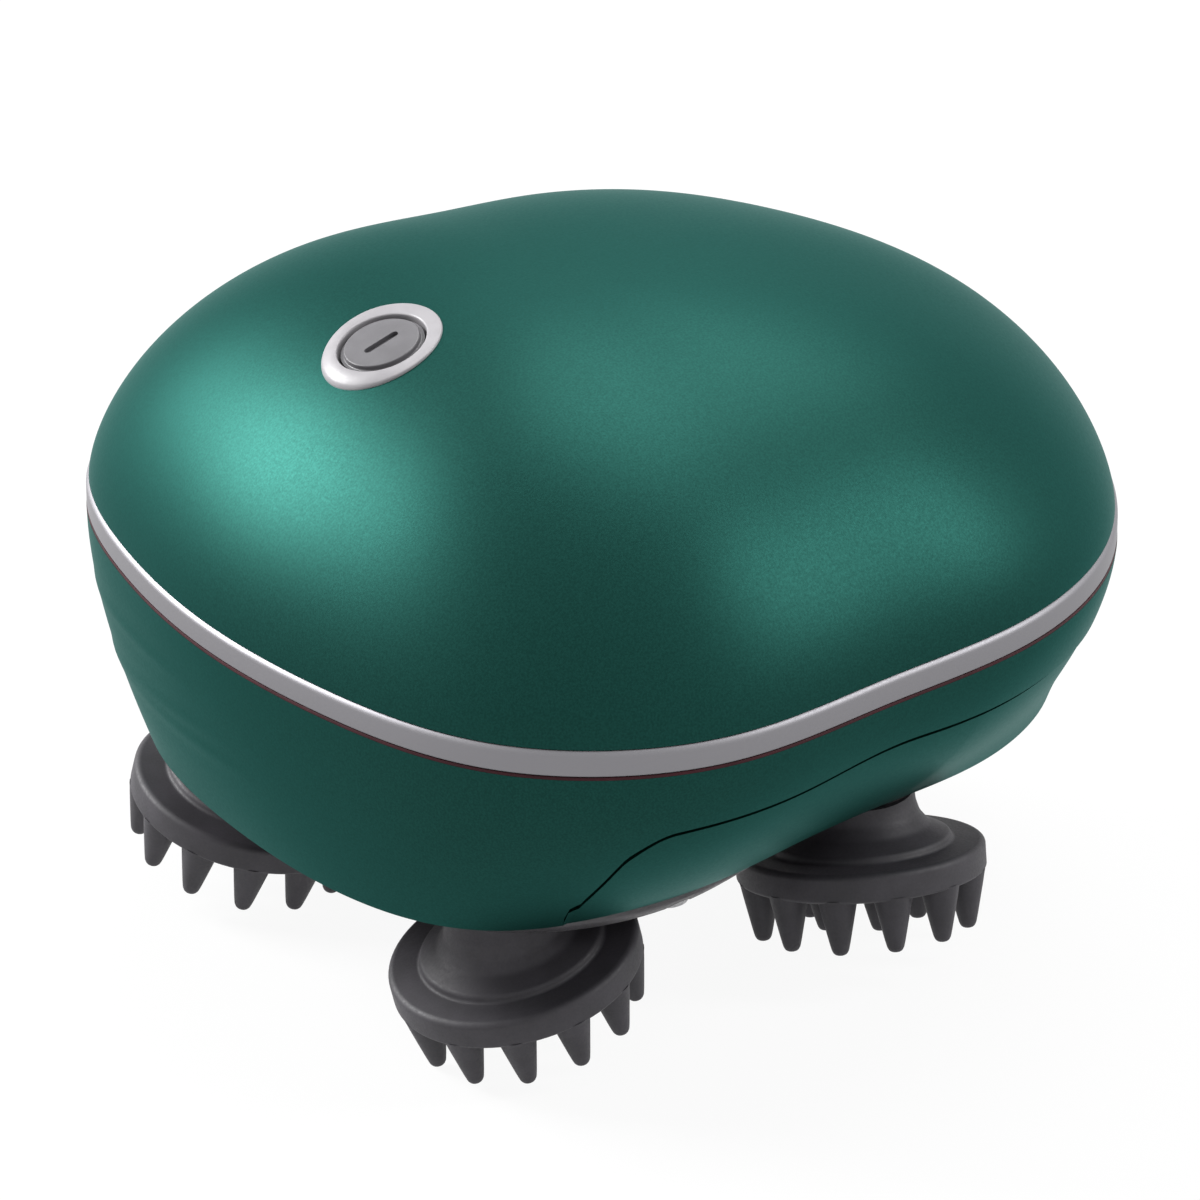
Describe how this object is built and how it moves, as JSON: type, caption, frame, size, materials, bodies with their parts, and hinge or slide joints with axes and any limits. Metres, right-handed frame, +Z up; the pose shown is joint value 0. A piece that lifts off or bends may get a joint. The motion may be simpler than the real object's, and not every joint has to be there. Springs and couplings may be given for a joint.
{
  "type": "electric scalp massager",
  "caption": "Palm-sized domed scalp massager with a bright trim ring, a power button and geared kneading heads with soft tines.",
  "frame": {"origin": "on the surface the tines stand on, under the middle of the case", "axes": "+X towards the nose, away from the power button, +Y to the left side, +Z up"},
  "size_m": [0.1195, 0.1164, 0.0851],
  "materials": {
    "green_paint": "satin metallic dark green paint on moulded ABS",
    "satin_trim": "satin silver plated ring",
    "maroon_seal": "thin dark maroon rubber seal",
    "charcoal_plastic": "fine matt charcoal ABS",
    "head_silicone": "matt charcoal silicone",
    "soft_rubber": "black elastomer",
    "grey_ring": "satin grey ring",
    "grey_button": "satin grey cap with a dark line",
    "black_plastic": "glass-filled black plastic",
    "gear_plastic": "natural acetal",
    "plated_steel": "plated steel",
    "bronze": "sintered bronze",
    "cell_wrap": "shrink-wrapped cell",
    "board_green": "glass-fibre board with green mask"
  },
  "bodies": {
    "case": {"top_cover": "green_paint", "trim_ring": "satin_trim", "seal_gasket": "maroon_seal", "lower_housing": "green_paint", "base_plate": "charcoal_plastic", "lip_seals": "soft_rubber", "lower_bushes": "bronze", "upper_bushes": "bronze", "chassis": "black_plastic", "gearbox": "black_plastic", "motor_can": "plated_steel", "battery_cell": "cell_wrap", "battery_cradle": "black_plastic", "button_gasket": "soft_rubber", "button_bezel": "grey_ring", "circuit_board": "board_green", "tact_switch": "black_plastic", "charging_socket": "plated_steel", "port_plug": "soft_rubber", "plate_screws": "plated_steel", "cover_screws": "plated_steel", "chassis_screws": "plated_steel", "motor_screws": "plated_steel", "board_screws": "plated_steel"},
    "drive": {"drive_gear": "gear_plastic", "output_shaft": "plated_steel"},
    "head_tail_right": {"head_gear_tail_right": "gear_plastic", "head_shaft_tail_right": "plated_steel", "shaft_clip_tail_right": "plated_steel", "crank_hub_tail_right": "black_plastic", "massage_head_tail_right": "head_silicone"},
    "head_nose_right": {"head_gear_nose_right": "gear_plastic", "head_shaft_nose_right": "plated_steel", "shaft_clip_nose_right": "plated_steel", "crank_hub_nose_right": "black_plastic", "massage_head_nose_right": "head_silicone"},
    "head_tail_left": {"head_gear_tail_left": "gear_plastic", "head_shaft_tail_left": "plated_steel", "shaft_clip_tail_left": "plated_steel", "crank_hub_tail_left": "black_plastic", "massage_head_tail_left": "head_silicone"},
    "head_nose_left": {"head_gear_nose_left": "gear_plastic", "head_shaft_nose_left": "plated_steel", "shaft_clip_nose_left": "plated_steel", "crank_hub_nose_left": "black_plastic", "massage_head_nose_left": "head_silicone"},
    "button": {"power_button": "grey_button"}
  },
  "joints": [
    {"name": "drive_spin", "type": "hinge", "parent": "case", "child": "drive", "pos_m": [-0.01, 0, 0.03321], "axis": [0, 0, 1], "continuous": true},
    {"name": "head_spin_tail_right", "type": "hinge", "parent": "case", "child": "head_tail_right", "pos_m": [-0.03546, -0.02546, 0.03321], "axis": [0, 0, 1], "continuous": true},
    {"name": "head_spin_nose_right", "type": "hinge", "parent": "case", "child": "head_nose_right", "pos_m": [0.01546, -0.02546, 0.03321], "axis": [0, 0, 1], "continuous": true},
    {"name": "head_spin_tail_left", "type": "hinge", "parent": "case", "child": "head_tail_left", "pos_m": [-0.03546, 0.02546, 0.03321], "axis": [0, 0, 1], "continuous": true},
    {"name": "head_spin_nose_left", "type": "hinge", "parent": "case", "child": "head_nose_left", "pos_m": [0.01546, 0.02546, 0.03321], "axis": [0, 0, 1], "continuous": true},
    {"name": "button_press", "type": "slide", "parent": "case", "child": "button", "axis": [0.309, 0, -0.9511], "range_m": [0, 0.0006], "stiffness_N_per_m": 1500}
  ],
  "couplings": [
    {"joint": "head_spin_tail_right", "follows": "drive_spin", "ratio": -2.6},
    {"joint": "head_spin_nose_right", "follows": "drive_spin", "ratio": -2.6},
    {"joint": "head_spin_tail_left", "follows": "drive_spin", "ratio": -2.6},
    {"joint": "head_spin_nose_left", "follows": "drive_spin", "ratio": -2.6}
  ]
}
